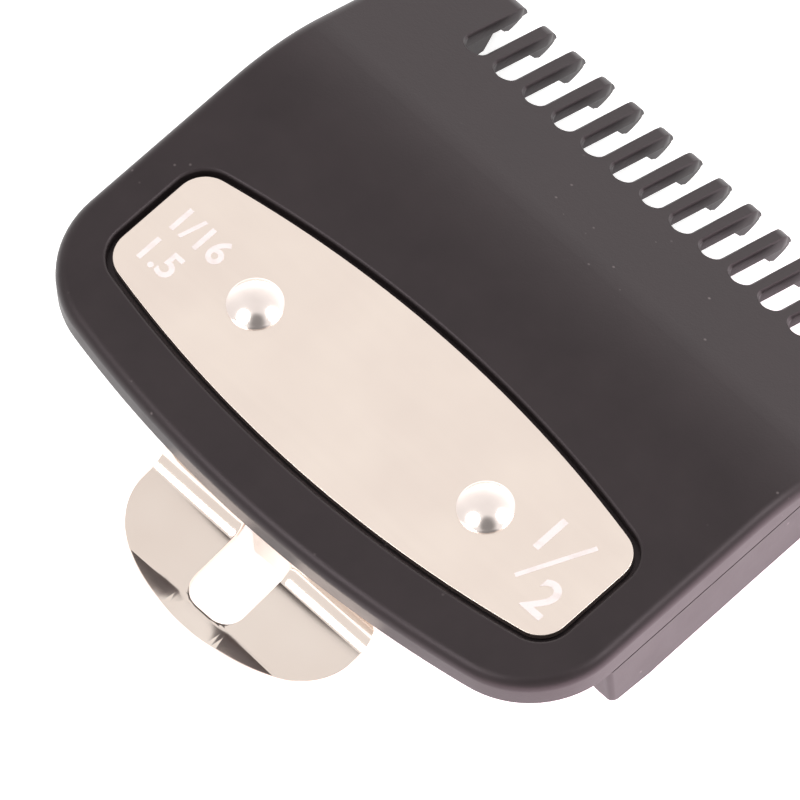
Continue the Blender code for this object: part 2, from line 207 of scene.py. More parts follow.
def arcEnd(piece, side, radius, halfWidth, corner, crown):  # swells the -y or +y end into an arc
    backToObjects()
    meet = (halfWidth - corner) * radius / (radius - corner)
    inside = cornerCentre(radius, halfWidth, corner, crown) + 0.01
    columns = {round(abs(inMm(v.co).x), 3) for v in piece.data.vertices
               if inMm(v.co).y * side > inside}
    for column in sorted(columns):
        if column > meet:
            continue
        arc = crown - radius + math.sqrt(radius ** 2 - column ** 2)
        straight = cornerCentre(radius, halfWidth, corner, crown)
        straight += math.sqrt(corner ** 2 - max(column - halfWidth + corner, 0) ** 2)
        slide(piece, 0, side * (arc - straight), 0,
              lambda p: abs(abs(p.x) - column) < 0.0006 and p.y * side > inside)


def uprightEdge(a, b):
    return abs(a.x - b.x) < 0.01 and abs(a.y - b.y) < 0.01


# ---- comb ----

comb = {"halfWidth": 25.0, "tipY": inMm(combHigh).y, "rearY": inMm(combLow).y, "thick": 2.44,
        "rearRadius": 98.0, "rearCorner": 7.5, "frontCorner": 1.2, "rim": 0.9, "lowRim": 0.06,
        "bendY": 15.53, "slope": math.radians(25.77), "bendTangent": 4.3, "frontThick": 1.15,
        "toothLength": 6.21, "pitch": 2.832, "slots": 13, "slotWidth": 2.16, "draft": 0.222}
bendRadius = comb["bendTangent"] / math.tan(comb["slope"] / 2)
bendStart = comb["bendY"] - comb["bendTangent"]
bendEnd = comb["bendY"] + comb["bendTangent"] * math.cos(comb["slope"])


def outerZ(y):
    if y <= bendStart:
        return 0.0
    if y >= bendEnd:
        return -(y - comb["bendY"]) * math.tan(comb["slope"])
    return math.sqrt(bendRadius ** 2 - (y - bendStart) ** 2) - bendRadius


def innerZ(y):
    return min(-comb["thick"], outerZ(y) - comb["frontThick"])


bendRows = [bendStart + (bendEnd - bendStart) * k / 12 for k in range(13)]


def makeSlab():
    half, rim = comb["halfWidth"], comb["rim"]
    corner, arc = comb["rearCorner"], comb["rearRadius"]
    side = -cornerCentre(arc, half, corner, -comb["rearY"]) - corner
    slab = addBox("combShell", (-half, side, -comb["thick"]), (half, comb["tipY"], 0))
    kink = comb["bendY"] + (comb["thick"] - comb["frontThick"]) / math.tan(comb["slope"])
    cutAcross(slab, 1, sorted(bendRows + [kink, comb["tipY"] - comb["toothLength"] - 1]))
    rows = {round(inMm(v.co).y, 3) for v in slab.data.vertices}
    for row in sorted(rows):
        if row > bendStart:
            slide(slab, 0, 0, outerZ(row), lambda p: abs(p.y - row) < 0.002 and p.z > -0.01)
            slide(slab, 0, 0, innerZ(row) + comb["thick"],
                  lambda p: abs(p.y - row) < 0.002 and abs(p.z + comb["thick"]) < 0.01)
    bevelEdges(slab, corner, 18, lambda a, b, n: uprightEdge(a, b) and a.y < side + 0.1)
    bevelEdges(slab, comb["frontCorner"], 8,
               lambda a, b, n: uprightEdge(a, b) and a.y > comb["tipY"] - 0.1)
    pick(slab, "EDGE", lambda a, b, n: max(a.y, b.y) < side + 0.01 and abs(a.x - b.x) > 5)
    bpy.ops.mesh.subdivide(number_cuts=23)
    arcEnd(slab, -1, arc, half, corner, -comb["rearY"])
    bevelEdges(slab, rim, 7, lambda a, b, n: len(n) == 2 and max(n[0].z, n[1].z) > 0.8
               and min(n[0].z, n[1].z) < 0.3)
    bevelEdges(slab, comb["lowRim"], 2, lambda a, b, n: len(n) == 2 and min(n[0].z, n[1].z) < -0.8
               and max(n[0].z, n[1].z) > -0.3 and max(a.y, b.y) < 24)
    return slab


wall = {"outer": 24.98, "thick": 1.98, "rearY": -2.3, "bottom": -6.86, "sag": 0.2, "deepenY": 18.03,
        "groove": 0.11, "frontY": comb["tipY"] - 4.1, "frontDepth": 3.3, "lean": 1.2,
        "round": 0.1, "corner": 0.9, "rearRound": 0.45}


def wallBottom(y):
    low = outerZ(wall["frontY"]) - wall["frontDepth"]
    if y < wall["rearY"] + 1:
        return wall["bottom"] - wall["sag"]
    if y <= wall["deepenY"]:
        return wall["bottom"]
    if y > wall["frontY"] + 0.01:
        return innerZ(y) - 0.2
    share = (y - wall["deepenY"]) / (wall["frontY"] - wall["deepenY"])
    return wall["bottom"] + (low - wall["bottom"]) * share


def makeWall(name, side, inner, outer, rearY, topOf, bottomOf):
    low, high = sorted((side * inner, side * outer))
    endY = wall["frontY"] + wall["lean"]
    piece = addBox(name, (low, rearY, -8), (high, endY, -1))
    rows = bendRows + [wall["deepenY"], wall["deepenY"] + 4, wall["frontY"]]
    cutAcross(piece, 1, sorted(y for y in rows if rearY + 0.2 < y))
    rows = {round(inMm(v.co).y, 3) for v in piece.data.vertices}
    for row in sorted(rows):
        slide(piece, 0, 0, topOf(row) + 1, lambda p: abs(p.y - row) < 0.002 and p.z > -1.01)
        slide(piece, 0, 0, bottomOf(row) + 8, lambda p: abs(p.y - row) < 0.002 and p.z < -7.99)
    return piece


def makeSideWall(side):
    rear, groove = wall["rearY"], wall["groove"]
    inner, outer = wall["outer"] - wall["thick"], wall["outer"]
    piece = makeWall("sideWall", side, inner, outer, rear, lambda y: innerZ(y) - groove, wallBottom)
    bevelEdges(piece, wall["corner"], 7, lambda a, b, n: abs(a.y - rear) < 0.01
               and abs(b.y - rear) < 0.01 and max(a.z, b.z) < -6)
    atFace = lambda a, b, n: (len(n) == 2 and abs(a.x - b.x) < 0.01 and n[0].dot(n[1]) < 0.5
                              and min(abs(abs(a.x) - inner), abs(abs(a.x) - outer)) < 0.01
                              and max(n[0].z, n[1].z) < 0.5)
    bevelEdges(piece, wall["rearRound"], 6,
               lambda a, b, n: atFace(a, b, n) and (a.y + b.y) / 2 < rear + 0.9)
    bevelEdges(piece, wall["round"], 3,
               lambda a, b, n: atFace(a, b, n) and (a.y + b.y) / 2 > rear + 0.95)
    neck = makeWall("wallNeck", side, inner + 0.1, outer - 2 * groove, rear + 0.15,
                    lambda y: innerZ(y) + 0.3, lambda y: innerZ(y) - 0.5)
    combine(piece, neck, "UNION")
    return piece


lastSlot = (comb["slots"] - 1) / 2 * comb["pitch"]  # middle of the end slots
rib = {"gap": 0.3, "width": 1.4, "rear": 1.5}


def makeRib(side):
    inner = lastSlot + comb["slotWidth"] / 2 - comb["draft"] * comb["frontThick"] + rib["gap"]
    rear = wall["deepenY"] + rib["rear"]
    piece = makeWall("endRib", side, inner, inner + rib["width"], rear, lambda y: innerZ(y) + 0.3,
                     lambda y: innerZ(y) - 0.1 if y < rear + 0.5 else wallBottom(y))
    return inner, piece


rail = {"fromWall": 4.2, "width": 1.2, "rearY": -1.0, "frontY": 16.4, "bottom": -3.39}


def makeRail(side):
    inner = wall["outer"] - wall["thick"] - rail["fromWall"]
    low, high = sorted((side * inner, side * (inner + rail["width"])))
    piece = addBox("seatRail", (low, rail["rearY"], rail["bottom"]), (high, rail["frontY"], -2.1))
    bevelEdges(piece, 0.12, 2, lambda a, b, n: min(a.z, b.z) < -3.3 or
               (uprightEdge(a, b) and max(a.z, b.z) < -2))
    return piece


fin = {"width": 0.9, "length": 2.7, "heel": 2.0, "drop": 1.8, "heelRise": 0.35, "lowest": 1.65,
       "noseRise": 0.82, "setback": 0.05, "bite": 0.25, "edge": 0.25}


def makeFin(name, low, high):
    tip = comb["tipY"] - fin["setback"]
    bottom = outerZ(comb["tipY"]) - fin["drop"]
    rows = [(comb["tipY"] - fin["length"], None),
            (comb["tipY"] - fin["heel"], bottom + fin["heelRise"])]
    for turn in (0, 14, 28, 42, 56, 69, 81, 90):  # the nose rises like a quarter of an ellipse
        angle = math.radians(turn)
        rows.append((tip - fin["lowest"] * (1 - math.sin(angle)),
                     bottom + fin["noseRise"] * (1 - math.cos(angle))))
    piece = addBox(name, (low, rows[0][0], -20), (high, tip, -1))
    cutAcross(piece, 1, [row for row, down in rows[1:-1]])
    for row, down in rows:
        down = innerZ(row) - 0.05 if down is None else down
        slide(piece, 0, 0, innerZ(row) + fin["bite"] + 1,
              lambda p: abs(p.y - row) < 0.005 and p.z > -1.01)
        slide(piece, 0, 0, down + 20, lambda p: abs(p.y - row) < 0.005 and p.z < -19.9)
    bevelEdges(piece, fin["edge"], 4, lambda a, b, n: len(n) == 2 and abs(a.x - b.x) < 0.01
               and n[0].dot(n[1]) < 0.5 and max(n[0].z, n[1].z) < 0.5
               and max(a.z, b.z) < -8.76)
    return piece


slopeThick = comb["frontThick"] * math.cos(comb["slope"])
slot = {"long": 16.0, "deep": 2.3,
        "flares": [(0.0, 0.2), (-0.03, 0.11), (-0.09, 0.04), (-0.19, 0.0),  # level, extra half width
                   (-slopeThick + 0.1, 0.0), (-slopeThick + 0.02, 0.05), (-slopeThick - 0.05, 0.12)],
        "fade": [(2, 1, 0.9), (1, 0.6, 0.6), (0.6, -1, 0.35)],  # share of the flare near the tips
        "nose": [(0.85, 0.0), (0.66, 0.014), (0.48, 0.04), (0.32, 0.08), (0.18, 0.13), (0.07, 0.18),
                 (-0.5, 0.23)]}


def makeSlots():
    half, deep = comb["slotWidth"] / 2, slot["deep"]
    cutter = addBox("slotCutter", (-half, 0, -deep), (half, slot["long"], 1.0))
    bevelEdges(cutter, half * 0.998, 12, lambda a, b, n: uprightEdge(a, b) and a.y < 0.01)
    taper = (half - comb["draft"] * deep) / half
    stretch(cutter, taper, taper, (0, 0, 0), lambda p: p.z < 0)
    tip = comb["toothLength"] / math.cos(comb["slope"])
    cutAcross(cutter, 2, [z for z, out in slot["flares"]])
    cutAcross(cutter, 1, [tip - back for back, out in slot["nose"]])
    for z, out in slot["flares"]:
        if out:
            here = half + comb["draft"] * z
            stretch(cutter, (here + out) / here, (here + out) / here, (0, here, z),
                    lambda p: abs(p.z - z) < 0.004 and p.y < tip - 2)
            for near, far, part in slot["fade"]:
                wide = (here + out * part) / here
                stretch(cutter, wide, 1, (0, here, z),
                        lambda p: abs(p.z - z) < 0.004 and tip - near < p.y <= tip - far)
    for back, out in slot["nose"]:  # rounds the tips of the bars, seen from above
        for sign in (-1, 1):
            slide(cutter, sign * out, 0, 0,
                  lambda p: abs(p.y - tip + back) < 0.02 and p.x * sign > 0)
    rootY = comb["tipY"] - comb["toothLength"]
    bpy.context.scene.cursor.location = at(0, 0, 0)
    makeActive(cutter)
    bpy.ops.object.origin_set(type="ORIGIN_CURSOR")
    cutter.rotation_euler = (-comb["slope"], 0, 0)
    cutter.location = at(-lastSlot, rootY, outerZ(rootY))
    bpy.ops.object.transform_apply(location=True, rotation=True, scale=True)
    bpy.ops.object.mode_set(mode="EDIT")
    bpy.ops.mesh.select_all(action="SELECT")
    bpy.ops.mesh.normals_make_consistent(inside=False)
    backToObjects()
    repeat(cutter, comb["slots"], comb["pitch"])
    return cutter


plate = {"halfWidth": 21.2, "halfHeight": 6.9, "bow": 96.0, "corner": 2.2, "middleY": 0.15,
         "top": -0.1, "thick": 0.5, "gap": 0.45, "pocketFloor": -0.9}


def makeBarrel(name, grow, low, high):  # long block with four round corners and bowed long sides
    halfWidth, radius = plate["halfWidth"] + grow, plate["bow"] + grow
    corner, crown = plate["corner"] + grow, plate["halfHeight"] + grow
    half = cornerCentre(radius, halfWidth, corner, crown) + corner
    piece = addBox(name, (-halfWidth, -half, low), (halfWidth, half, high))
    bevelEdges(piece, corner, 12, lambda a, b, n: uprightEdge(a, b))
    pick(piece, "EDGE", lambda a, b, n: abs(a.y - b.y) < 0.01 and abs(a.x - b.x) > 5)
    bpy.ops.mesh.subdivide(number_cuts=27)
    for side in (-1, 1):
        arcEnd(piece, side, radius, halfWidth, corner, crown)
    slide(piece, 0, plate["middleY"], 0, lambda p: True)
    return piece


rivet = {"spacing": 22.12, "head": 1.98, "rise": 0.75, "shank": 1.2, "tail": 1.8, "tailThick": 0.6}
rivetXs = (-rivet["spacing"] / 2, rivet["spacing"] / 2)


def makeComb():
    shell = makeSlab()
    for side in (-1, 1):
        combine(shell, makeSideWall(side), "UNION")
        inner, endRib = makeRib(side)
        combine(shell, endRib, "UNION")
        combine(shell, makeRail(side), "UNION")
        low, high = sorted((side * inner, side * (wall["outer"] - wall["thick"] + 0.1)))
        combine(shell, makeFin("endFin", low, high), "UNION")
    first = -5.5 * comb["pitch"]
    fins = makeFin("fins", first - fin["width"] / 2, first + fin["width"] / 2)
    repeat(fins, comb["slots"] - 1, comb["pitch"])
    combine(shell, fins, "UNION")
    combine(shell, makeSlots(), "DIFFERENCE")
    pocket = makeBarrel("pocketCutter", plate["gap"], plate["pocketFloor"], 1)
    combine(shell, pocket, "DIFFERENCE")
    bevelEdges(shell, 0.28, 4, lambda a, b, n: len(n) == 2 and abs(a.z) < 0.01 and abs(b.z) < 0.01
               and max(abs(a.x), abs(b.x)) < 22.5 and max(abs(a.y), abs(b.y)) < 8
               and n[0].dot(n[1]) < 0.5)
    for x in rivetXs:
        hole = addDrum("rivetHole", x, 0, -3, 0, rivet["shank"] + 0.2, 40)
        combine(shell, hole, "DIFFERENCE")
    smoothOff(shell)
    return shell


shell = makeComb()
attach(shell, "comb")
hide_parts("comb_body")
print("comb modelled:", len(shell.data.polygons), "faces")


# ---- face plate and rivets ----

def makePlate():
    piece = makeBarrel("facePlate", 0, plate["top"] - plate["thick"], plate["top"])
    bevelEdges(piece, 0.04, 3, lambda a, b, n: len(n) == 2 and n[0].dot(n[1]) < 0.5
               and min(a.z, b.z) > plate["top"] - 0.01)
    for x in rivetXs:
        combine(piece, addDrum("plateHole", x, 0, -3, 1, rivet["shank"] + 0.1, 40), "DIFFERENCE")
    smoothOff(piece)
    return piece


facePlate = makePlate()
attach(facePlate, "comb")
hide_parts("face_plate")

clip = {"sheet": 0.5, "leafZ": -2.44 - 0.27, "leafHalf": 14.0, "leafFront": 3.6, "neckY": -4.2,
        "uprightY": -9.55, "bend": 1.0, "tabHalf": 10.1, "tabDrop": 4.44, "tabBend": 2.0,
        "tabSlope": math.radians(8), "lipY": -15.3, "lipRadius": 3.0, "lipTurn": math.radians(21.5),
        "sideY": -11.9, "reach": 6.0, "windowHalf": 2.3, "windowEnd": -16.1, "windowTop": 1.6,
        "tongueHalf": 1.8, "tongueDrop": 8.04, "tongueReach": 2.4, "tongueBend": 1.1,
        "dentY": -17.2, "dentX": (-1.1, 0.9), "dentDrop": 0.2, "dentSpread": 2.2}


domeRadius, domeRings = 3.2, (1.93, 1.84, 1.7, 1.5, 1.25, 1.0, 0.75, 0.5, 0.25, 0.08)
drops = [domeRadius - math.sqrt(domeRadius ** 2 - r * r) for r in domeRings]
rises = [rivet["rise"] - 0.08 - drops[0]] + [a - b for a, b in zip(drops, drops[1:])]
rivetDome = list(zip(domeRings, rises))


def pullDown(depth):
    bpy.ops.mesh.extrude_region_move(TRANSFORM_OT_translate={"value": (0, 0, -depth * mm)})


def makeRivet(name, x):
    piece = addDrum(name, x, 0, plate["top"], plate["top"] + 0.08, rivet["head"])
    ring = rivet["head"]
    for radius, rise in rivetDome:
        pick(piece, "FACE", lambda p, n: n.z > 0.9 and abs(p.x - x) < 0.01 and abs(p.y) < 0.01)
        bpy.ops.mesh.inset(thickness=(ring - radius) * math.cos(math.pi / 64) * mm)
        bpy.ops.transform.translate(value=(0, 0, rise * mm))
        ring = radius
    backToObjects()
    leafLow = clip["leafZ"] - clip["sheet"] / 2
    pick(piece, "FACE", lambda p, n: n.z < -0.9)
    bpy.ops.mesh.inset(thickness=(rivet["head"] - rivet["shank"]) * mm)
    pullDown(plate["top"] - leafLow)
    pullDown(0.02)
    wide = rivet["tail"] / rivet["shank"]
    bpy.ops.transform.resize(value=(wide, wide, 1), center_override=at(x, 0, leafLow))
    pullDown(rivet["tailThick"])
    bpy.ops.mesh.inset(thickness=0.55 * mm)  # dimple of the setting tool
    bpy.ops.mesh.inset(thickness=0.35 * mm)
    bpy.ops.transform.translate(value=(0, 0, 0.22 * mm))
    backToObjects()
    bevelEdges(piece, 0.22, 4, lambda a, b, n: len(n) == 2 and n[0].dot(n[1]) < 0.3
               and max(a.z, b.z) < leafLow - 0.5)
    smoothOff(piece, 50)
    return piece


rivets = []
for label, x in (("Left", rivetXs[0]), ("Right", rivetXs[1])):
    piece = makeRivet("rivet" + label, x)
    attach(piece, "comb")
    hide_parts("rivet_" + label.lower())
    rivets.append(piece)
print("plate and rivets modelled")


# ---- spring clip, pressed from a flat blank ----

def bendPlan():  # bends of the blank: flat place where each starts, turn towards -z, radius
    first = clip["uprightY"] + clip["bend"]
    place = first - clip["bend"] * math.pi / 2
    second = math.pi / 2 - clip["tabSlope"]
    lost = clip["tabBend"] * math.tan(second / 2)
    place -= clip["tabDrop"] - clip["bend"] - lost
    plan = [(first, math.pi / 2, clip["bend"]), (place, -second, clip["tabBend"])]
    tabStart = place - clip["tabBend"] * second
    tabY = clip["uprightY"] - lost * math.cos(clip["tabSlope"])
    lipStart = tabStart - (tabY - clip["lipY"]) / math.cos(clip["tabSlope"])
    plan.append((lipStart, -clip["lipTurn"], clip["lipRadius"]))
    return plan, tabStart, tabY, lipStart


def flatPlace(y):  # place on the blank of a point that ends up at y, on the tab
    plan, tabStart, tabY, lipStart = bendPlan()
    slope, turn, radius = clip["tabSlope"], clip["lipTurn"], clip["lipRadius"]
    curlEnd = clip["lipY"] - radius * (math.sin(turn - slope) + math.sin(slope))
    if y >= clip["lipY"]:
        return tabStart - (tabY - y) / math.cos(slope)
    if y < curlEnd:
        return lipStart - radius * turn - (curlEnd - y) / math.cos(turn - slope)
    return lipStart - radius * (slope + math.asin((clip["lipY"] - y) / radius - math.sin(slope)))


def fold(piece, plan, steps=14):  # turns what lies beyond each bend, a little at a time
    flat = [inMm(v.co).y for v in piece.data.vertices]
    turns = []
    for start, turn, radius in plan:
        for k in range(steps):
            share = (k + 0.5) / steps
            turns.append((start - radius * abs(turn) * share, turn / steps))
    for place, turn in reversed(turns):  # far ones first, so that nearer ones carry them
        height = clip["leafZ"]
        makeActive(piece)
        bpy.ops.object.mode_set(mode="EDIT")
        bpy.ops.mesh.select_mode(type="VERT")
        bpy.ops.mesh.select_all(action="DESELECT")
        bpy.ops.object.mode_set(mode="OBJECT")
        for vertex, y in zip(piece.data.vertices, flat):
            vertex.select = y < place + 0.0005
        bpy.ops.object.mode_set(mode="EDIT")
        bpy.ops.transform.rotate(value=clip["turnSign"] * turn, orient_axis="X", orient_type="GLOBAL",
                                 center_override=at(0, place, height))
    backToObjects()


def bendRowsOf(plan, steps=14):
    rows = []
    for start, turn, radius in plan:
        rows += [start - radius * abs(turn) * (k + 0.5) / steps for k in range(steps)]
    return rows


def makeClip():
    plan, tabStart, tabY, lipStart = bendPlan()
    thick, leafZ = clip["sheet"] / 2, clip["leafZ"]
    low, high = leafZ - thick, leafZ + thick
    half, endY = clip["tabHalf"], flatPlace(clip["sideY"] - clip["reach"])
    depth = flatPlace(clip["sideY"]) - endY
    blank = addBox("springClip", (-depth, endY, low), (depth, clip["neckY"] - 3, high))
    bevelEdges(blank, depth * 0.99, 30, lambda a, b, n: uprightEdge(a, b) and a.y < endY + 0.01)
    stretch(blank, half / depth, 1, (0, 0, 0), lambda p: True)
    leaf = addBox("leaf", (-clip["leafHalf"], clip["neckY"] - 3, low),
                  (clip["leafHalf"], clip["leafFront"], high))
    cutAcross(leaf, 1, [clip["neckY"]])
    stretch(leaf, half / clip["leafHalf"], 1, (0, 0, 0), lambda p: p.y < clip["neckY"] - 0.1)
    bevelEdges(leaf, 1.5, 8, lambda a, b, n: uprightEdge(a, b) and a.y > clip["neckY"] - 0.1)
    slide(leaf, 0, -0.5, 0, lambda p: p.y < clip["neckY"] - 2.9)
    combine(blank, leaf, "UNION")
    topY = plan[0][0] - clip["bend"] * math.pi / 2 - (clip["windowTop"] - clip["bend"])
    window = addBox("window", (-clip["windowHalf"], flatPlace(clip["windowEnd"]), low - 1),
                    (clip["windowHalf"], topY, high + 1))
    bevelEdges(window, 1.6, 8, lambda a, b, n: uprightEdge(a, b) and a.y < topY - 1)
    combine(blank, window, "DIFFERENCE")
    for x in rivetXs:
        combine(blank, addDrum("leafHole", x, 0, -5, 0, rivet["shank"] + 0.1, 40), "DIFFERENCE")
    bevelEdges(blank, 0.08, 2, lambda a, b, n: len(n) == 2 and n[0].dot(n[1]) < 0.5
               and max(abs(n[0].z), abs(n[1].z)) > 0.9)
    cutAcross(blank, 0, [-3.6 + 0.4 * k for k in range(17)])
    cutAcross(blank, 1, bendRowsOf(plan))
    fold(blank, plan)
    left, right = clip["dentX"]  # the lip is flatter below the window
    pick(blank, "VERT", lambda p: p.y < clip["dentY"] and left < p.x < right)
    bpy.ops.transform.translate(value=(0, 0, -clip["dentDrop"] * mm), use_proportional_edit=True,
                                proportional_edit_falloff="SMOOTH",
                                proportional_size=clip["dentSpread"] * mm)
    backToObjects()
    return blank


def makeTongue():
    thick, leafZ = clip["sheet"] / 2, clip["leafZ"]
    startY = clip["uprightY"] + clip["bend"]
    first = (startY, math.pi / 2, clip["bend"])
    down = startY - clip["bend"] * math.pi / 2 - (clip["tongueDrop"] - clip["bend"] - clip["tongueBend"])
    second = (down, math.pi / 2, clip["tongueBend"])
    endY = down - clip["tongueBend"] * math.pi / 2 - (clip["tongueReach"] - clip["tongueBend"])
    topY = startY - clip["bend"] * math.pi / 2 - (clip["windowTop"] - clip["bend"]) + 0.15
    half = clip["tongueHalf"]
    piece = addBox("catchTongue", (-half, endY, leafZ - thick), (half, topY, leafZ + thick))
    bevelEdges(piece, 0.5, 5, lambda a, b, n: uprightEdge(a, b) and a.y < endY + 0.01)
    bevelEdges(piece, 0.08, 2, lambda a, b, n: len(n) == 2 and n[0].dot(n[1]) < 0.5
               and max(abs(n[0].z), abs(n[1].z)) > 0.9)
    cutAcross(piece, 1, bendRowsOf([second]))
    fold(piece, [first, second])
    return piece


def turnSignOf():  # rotate turns the other way with no window, so one corner is tried first
    probe = addBox("probe", (0, 0, 0), (1, 1, 1))
    pick(probe, "VERT", lambda p: True)
    bpy.ops.transform.rotate(value=math.pi / 2, orient_axis="X", orient_type="GLOBAL",
                             center_override=at(0, 0, 0))
    backToObjects()
    sign = 1 if max(inMm(v.co).z for v in probe.data.vertices) > 0.5 else -1
    bpy.data.objects.remove(probe, do_unlink=True)
    return sign


clip["turnSign"] = turnSignOf()
springClip = makeClip()
tongue = makeTongue()
combine(springClip, tongue, "UNION")
smoothOff(springClip, 40)
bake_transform(springClip)
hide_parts("clip_base", "clip_lever")
print("clip pressed:", len(springClip.data.polygons), "faces")


# ---- printed size figures ----

figures = [("sizeInches", "1/16", -20.0, 0.1, 2.05, 0.06),  # x, y, height, extra weight
           ("sizeMillimetres", "1.5", -20.0, -2.95, 2.05, 0.06),
           ("numberOne", "1", 14.6, 0.25, 2.9, 0.07), ("numberTwo", "2", 17.75, -3.45, 2.9, 0.07)]
inkHeight = 0.012


def makeFigure(name, words, x, y, tall, bold):
    backToObjects()
    bpy.ops.object.select_all(action="DESELECT")
    bpy.ops.object.text_add(location=(0, 0, 0))
    piece = bpy.context.object
    piece.name = name
    piece.data.body = words
    piece.data.size = tall / 0.73 * mm
    piece.data.offset = bold * mm
    piece.data.extrude = inkHeight * mm
    bpy.ops.object.convert(target="MESH")
    piece = bpy.context.object
    piece.location = at(x, y, plate["top"] + 0.002)
    bpy.ops.object.transform_apply(location=True, rotation=True, scale=True)
    return piece


def makeStroke(name, foot, head, width):  # printed bar of the fraction
    run = Vector(head) - Vector(foot)
    piece = addBox(name, (-width / 2, 0, plate["top"] - 0.01),
                   (width / 2, run.length, plate["top"] + inkHeight + 0.002))
    bpy.context.scene.cursor.location = at(0, 0, 0)
    makeActive(piece)
    bpy.ops.object.origin_set(type="ORIGIN_CURSOR")
    piece.rotation_euler = (0, 0, -math.atan2(run.x, run.y))
    piece.location = at(foot[0], foot[1], 0)
    bpy.ops.object.transform_apply(location=True, rotation=True, scale=True)
    return piece


prints = [makeFigure(*row) for row in figures]
prints.append(makeStroke("numberBar", (16.1, -2.2), (18.6, 3.05), 0.34))
for piece in prints:
    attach(piece, "comb")
print("figures printed")


# ---- finishes ----

class Wire:  # a socket that does sums
    def __init__(self, tree, socket):
        self.tree = tree
        self.socket = socket

    def node(self, kind, settings=None, links=None, output=0):
        fresh = self.tree.nodes.new(kind)
        for name, value in (settings or {}).items():
            if name == "stops":
                ramp = fresh.color_ramp
                while len(ramp.elements) < len(value):
                    ramp.elements.new(0.5)
                for element, (place, colour) in zip(ramp.elements, value):
                    element.position = place
                    element.color = (*colour, 1)
            else:
                setattr(fresh, name, value)
        for name, value in (links or {}).items():
            if isinstance(value, Wire):
                self.tree.links.new(value.socket, fresh.inputs[name])
            else:
                fresh.inputs[name].default_value = value
        return Wire(self.tree, fresh.outputs[output])

    def sums(self, operation, first, second=0.0):
        return self.node("ShaderNodeMath", {"operation": operation}, {0: first, 1: second})

    def __add__(self, other):
        return self.sums("ADD", self, other)

    def __sub__(self, other):
        return self.sums("SUBTRACT", self, other)

    def __rsub__(self, other):
        return self.sums("SUBTRACT", other, self)

    def __mul__(self, other):
        return self.sums("MULTIPLY", self, other)

    def __pow__(self, other):
        return self.sums("POWER", self, other)

    def over(self, level, width=0.02):  # soft step from 0 to 1
        settings = {"clamp": True}
        return self.node("ShaderNodeMapRange", settings, {"Value": self, "From Min": level - width,
                                                          "From Max": level + width})

    def stretched(self, scale):
        return self.node("ShaderNodeMapping", {}, {"Vector": self, "Scale": scale})

    def noise(self, scale, detail=2.0, rough=0.5):
        return self.node("ShaderNodeTexNoise", {}, {"Vector": self, "Scale": scale, "Detail": detail,
                                                    "Roughness": rough})

    def specks(self, scale):
        return self.node("ShaderNodeTexVoronoi", {}, {"Vector": self, "Scale": scale})

    def blendTo(self, first, second):  # colours, this wire being the share
        return self.node("ShaderNodeMix", {"data_type": "RGBA"}, {0: self, 6: first, 7: second}, 2)


def startFinish(name, metallic=0.0, **constants):
    material = bpy.data.materials.new(name)
    material.use_nodes = True
    tree = material.node_tree
    shader = tree.nodes["Principled BSDF"]
    shader.inputs["Metallic"].default_value = metallic
    for socket, value in constants.items():
        shader.inputs[socket.replace("_", " ")].default_value = value
    coords = tree.nodes.new("ShaderNodeTexCoord")
    return material, shader, Wire(tree, coords.outputs["Object"])


def feed(shader, socket, wire):
    wire.tree.links.new(wire.socket, shader.inputs[socket])


def emboss(shader, height, strength, depth):
    feed(shader, "Normal", height.node("ShaderNodeBump", {}, {"Height": height, "Strength": strength,
                                                              "Distance": depth * mm}))


def colour(red, green, blue):  # shown values 0 to 255, made linear
    return tuple(((c / 255 + 0.055) / 1.055) ** 2.4 for c in (red, green, blue)) + (1.0,)


nylon = {"dark": (26, 22, 23), "light": (32, 27, 28), "dust": (110, 102, 102), "rough": 0.42,
         "grain": 5200.0}


def nylonFinish():
    material, shader, place = startFinish("combNylon", IOR=1.5, Specular_IOR_Level=0.4,
                                          Specular_Tint=(1.0, 0.85, 0.9, 1.0))
    cloud = place.noise(230.0, 3.0, 0.6)
    base = cloud.over(0.5, 0.25).blendTo(colour(*nylon["dark"]), colour(*nylon["light"]))
    speck = 1.0 - place.specks(620.0).over(0.055, 0.03)
    sparse = place.noise(90.0, 1.0).over(0.6, 0.03)
    base = (speck * sparse * 0.75).blendTo(base, colour(*nylon["dust"]))
    feed(shader, "Base Color", base)
    feed(shader, "Roughness", cloud * 0.16 + (nylon["rough"] - 0.08))
    grain = place.noise(nylon["grain"], 3.0, 0.65)
    height = grain + place.noise(1500.0, 2.0) * 0.6
    emboss(shader, height, 0.22, 0.03)
    return material


sheetSteel = {"warm": (238, 225, 215), "cool": (230, 216, 207), "rough": 0.34}


def plateFinish():
    material, shader, place = startFinish("satinPlate", 1.0)
    cloud = place.noise(160.0, 2.0)
    shades = colour(*sheetSteel["cool"]), colour(*sheetSteel["warm"])
    feed(shader, "Base Color", cloud.over(0.5, 0.3).blendTo(*shades))
    brush = place.stretched((90, 3600, 3600)).noise(1.0, 3.0, 0.6)
    satin = place.noise(4200.0, 2.0)
    feed(shader, "Roughness", brush * 0.1 + (sheetSteel["rough"] - 0.05))
    emboss(shader, satin * 0.7 + brush, 0.1, 0.01)
    return material


bright = {"nickel": (238, 226, 217), "tint": (229, 214, 204), "rough": 0.12}


def clipFinish():
    material, shader, place = startFinish("brightClip", 1.0)
    cloud = place.noise(140.0, 2.0)
    shades = colour(*bright["tint"]), colour(*bright["nickel"])
    feed(shader, "Base Color", cloud.over(0.5, 0.3).blendTo(*shades))
    smear = place.stretched((300, 1500, 1500)).noise(1.0, 3.0, 0.6)
    feed(shader, "Roughness", smear * 0.09 + (bright["rough"] - 0.03))
    emboss(shader, place.noise(420.0, 2.0), 0.08, 0.04)
    return material


